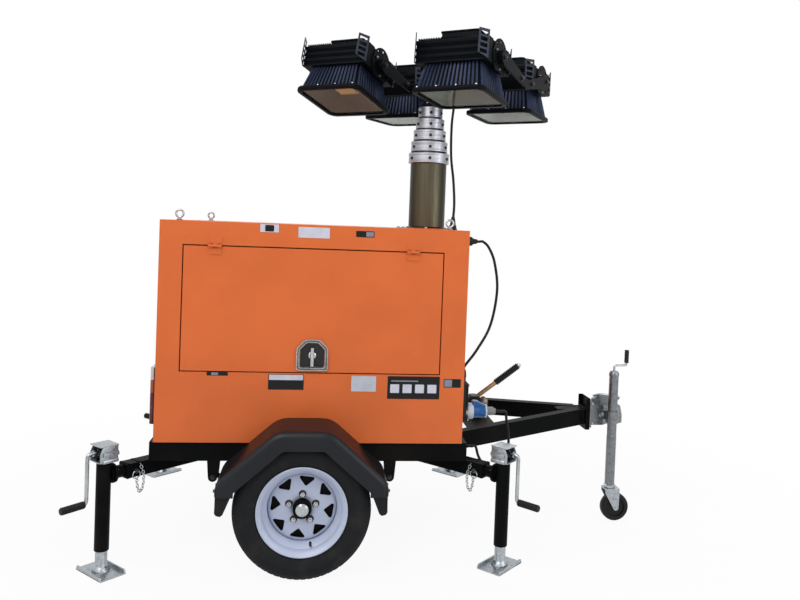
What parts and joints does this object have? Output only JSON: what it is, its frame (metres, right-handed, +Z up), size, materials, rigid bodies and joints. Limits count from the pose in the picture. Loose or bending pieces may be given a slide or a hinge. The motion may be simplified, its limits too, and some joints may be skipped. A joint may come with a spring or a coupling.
{
  "type": "mobile light tower trailer",
  "caption": "Two-wheel trailer with a generator box, a telescopic mast, four tilting floodlights, swing-up corner jacks and a jockey wheel on the drawbar",
  "frame": {"origin": "middle of the whole tower's box on the ground", "axes": "+X forward to the hitch, +Y to the trailer's left, +Z up"},
  "size_m": [2.565, 1.6, 2.3358],
  "materials": {
    "black_paint": "semi-gloss black paint",
    "orange_paint": "satin orange powder coat",
    "wheel_enamel": "gloss white enamel",
    "tyre": "matt rubber",
    "zinc": "galvanised steel",
    "mast_tube": "dark anodised",
    "lamp_body": "black anodised",
    "lamp_glass": "clear toughened",
    "blue_plastic": "gloss",
    "tail_lens": "gloss",
    "jockey_rubber": "matt",
    "cable_sheath": "matt"
  },
  "bodies": {
    "root": {"chassis_frame": "black_paint", "floor_plate": "black_paint", "axle": "black_paint", "drawbar": "black_paint", "handbrake": "black_paint", "engine_block": "black_paint", "mudguard_left": "black_paint", "mudguard_right": "black_paint", "outrigger_arm_front_right": "black_paint", "outrigger_arm_front_left": "black_paint", "outrigger_arm_rear_right": "black_paint", "outrigger_arm_rear_left": "black_paint", "coupling_head": "zinc", "lifting_eye_rear_right": "zinc", "lifting_eye_rear_left": "zinc", "lifting_eye_front_right": "zinc", "lifting_eye_front_left": "zinc", "side_panel_left": "orange_paint", "side_panel_right": "orange_paint", "front_panel": "orange_paint", "rear_panel": "orange_paint", "roof_panel": "orange_paint", "power_inlet": "blue_plastic", "tail_lamp_left": "tail_lens", "tail_lamp_right": "tail_lens", "mast_base": "mast_tube", "mast_cable": "cable_sheath", "front_cable": "cable_sheath", "power_lead": "cable_sheath"},
    "road_wheel_left": {"tyre_left": "tyre", "wheel_left": "wheel_enamel"},
    "door_left": {"door_left": "orange_paint"},
    "road_wheel_right": {"tyre_right": "tyre", "wheel_right": "wheel_enamel"},
    "door_right": {"door_right": "orange_paint"},
    "mast_stage_2": {"mast_section_2": "mast_tube"},
    "mast_stage_3": {"mast_section_3": "mast_tube"},
    "mast_stage_4": {"mast_section_4": "mast_tube"},
    "mast_stage_5": {"mast_section_5": "mast_tube"},
    "mast_head": {"mast_section_6": "mast_tube", "lamp_frame": "lamp_body"},
    "floodlight_rear_right": {"lamp_rear_right": "lamp_body", "lamp_glass_rear_right": "lamp_glass"},
    "floodlight_front_right": {"lamp_front_right": "lamp_body", "lamp_glass_front_right": "lamp_glass"},
    "floodlight_front_left": {"lamp_front_left": "lamp_body", "lamp_glass_front_left": "lamp_glass"},
    "floodlight_rear_left": {"lamp_rear_left": "lamp_body", "lamp_glass_rear_left": "lamp_glass"},
    "jack_front_right": {"jack_front_right": "black_paint"},
    "leg_front_right": {"jack_leg_front_right": "zinc"},
    "jack_front_left": {"jack_front_left": "black_paint"},
    "leg_front_left": {"jack_leg_front_left": "zinc"},
    "jack_rear_right": {"jack_rear_right": "black_paint"},
    "leg_rear_right": {"jack_leg_rear_right": "zinc"},
    "jack_rear_left": {"jack_rear_left": "black_paint"},
    "leg_rear_left": {"jack_leg_rear_left": "zinc"},
    "jockey_stem": {"jockey_tube": "zinc"},
    "jockey_caster": {"jockey_fork": "zinc"},
    "jockey_roller": {"jockey_wheel": "jockey_rubber"}
  },
  "joints": [
    {"name": "wheel_spin_right", "type": "hinge", "parent": "root", "child": "road_wheel_right", "pos_m": [-0.34747, -0.6915, 0.2805], "axis": [0, 1, 0], "continuous": true},
    {"name": "wheel_spin_left", "type": "hinge", "parent": "root", "child": "road_wheel_left", "pos_m": [-0.34747, 0.6915, 0.2805], "axis": [0, 1, 0], "continuous": true},
    {"name": "mast_extend", "type": "slide", "parent": "root", "child": "mast_head", "axis": [0, 0, 1], "range_m": [0, 5]},
    {"name": "mast_stage_2_rise", "type": "slide", "parent": "root", "child": "mast_stage_2", "axis": [0, 0, 1], "range_m": [0, 1]},
    {"name": "mast_stage_3_rise", "type": "slide", "parent": "root", "child": "mast_stage_3", "axis": [0, 0, 1], "range_m": [0, 2]},
    {"name": "mast_stage_4_rise", "type": "slide", "parent": "root", "child": "mast_stage_4", "axis": [0, 0, 1], "range_m": [0, 3]},
    {"name": "mast_stage_5_rise", "type": "slide", "parent": "root", "child": "mast_stage_5", "axis": [0, 0, 1], "range_m": [0, 4]},
    {"name": "floodlight_tilt_rear_right", "type": "hinge", "parent": "mast_head", "child": "floodlight_rear_right", "pos_m": [-0.19894, -0.08095, 2.2], "axis": [-0.829, 0.5592, 0], "range_deg": [-44, 61]},
    {"name": "floodlight_tilt_front_right", "type": "hinge", "parent": "mast_head", "child": "floodlight_front_right", "pos_m": [0.29848, -0.41647, 2.2], "axis": [-0.829, 0.5592, 0], "range_deg": [-35, 70]},
    {"name": "floodlight_tilt_front_left", "type": "hinge", "parent": "mast_head", "child": "floodlight_front_left", "pos_m": [0.634, 0.08095, 2.2], "axis": [0.829, -0.5592, 0], "range_deg": [-28, 77]},
    {"name": "floodlight_tilt_rear_left", "type": "hinge", "parent": "mast_head", "child": "floodlight_rear_left", "pos_m": [0.13658, 0.41647, 2.2], "axis": [0.829, -0.5592, 0], "range_deg": [-30, 75]},
    {"name": "door_lift_right", "type": "hinge", "parent": "root", "child": "door_right", "pos_m": [-0.34747, -0.568, 1.333], "axis": [-1, 0, 0], "range_deg": [0, 95]},
    {"name": "door_lift_left", "type": "hinge", "parent": "root", "child": "door_left", "pos_m": [-0.34747, 0.568, 1.333], "axis": [1, 0, 0], "range_deg": [0, 95]},
    {"name": "jack_swing_front_right", "type": "hinge", "parent": "root", "child": "jack_front_right", "pos_m": [0.50253, -0.64, 0.3947], "axis": [0.7071, -0.7071, 0], "range_deg": [0, 90]},
    {"name": "jack_leg_slide_front_right", "type": "slide", "parent": "jack_front_right", "child": "leg_front_right", "axis": [0, 0, 1], "range_m": [-0.25, 0.05]},
    {"name": "jack_swing_front_left", "type": "hinge", "parent": "root", "child": "jack_front_left", "pos_m": [0.50253, 0.64, 0.3947], "axis": [-0.7071, -0.7071, 0], "range_deg": [0, 90]},
    {"name": "jack_leg_slide_front_left", "type": "slide", "parent": "jack_front_left", "child": "leg_front_left", "axis": [0, 0, 1], "range_m": [-0.25, 0.05]},
    {"name": "jack_swing_rear_right", "type": "hinge", "parent": "root", "child": "jack_rear_right", "pos_m": [-1.14747, -0.64, 0.3947], "axis": [0.7071, 0.7071, 0], "range_deg": [0, 90]},
    {"name": "jack_leg_slide_rear_right", "type": "slide", "parent": "jack_rear_right", "child": "leg_rear_right", "axis": [0, 0, 1], "range_m": [-0.25, 0.05]},
    {"name": "jack_swing_rear_left", "type": "hinge", "parent": "root", "child": "jack_rear_left", "pos_m": [-1.14747, 0.64, 0.3947], "axis": [-0.7071, 0.7071, 0], "range_deg": [0, 90]},
    {"name": "jack_leg_slide_rear_left", "type": "slide", "parent": "jack_rear_left", "child": "leg_rear_left", "axis": [0, 0, 1], "range_m": [-0.25, 0.05]},
    {"name": "jockey_raise", "type": "slide", "parent": "root", "child": "jockey_stem", "axis": [0, 0, 1], "range_m": [-0.12, 0.22]},
    {"name": "jockey_caster_turn", "type": "hinge", "parent": "jockey_stem", "child": "jockey_caster", "pos_m": [1.18453, -0.124, 0.167], "axis": [0, 0, 1], "continuous": true},
    {"name": "jockey_spin", "type": "hinge", "parent": "jockey_caster", "child": "jockey_roller", "pos_m": [1.21253, -0.124, 0.07], "axis": [0, 1, 0], "continuous": true}
  ],
  "couplings": [
    {"joint": "mast_stage_2_rise", "follows": "mast_extend", "ratio": 0.2},
    {"joint": "mast_stage_3_rise", "follows": "mast_extend", "ratio": 0.4},
    {"joint": "mast_stage_4_rise", "follows": "mast_extend", "ratio": 0.6},
    {"joint": "mast_stage_5_rise", "follows": "mast_extend", "ratio": 0.8}
  ]
}
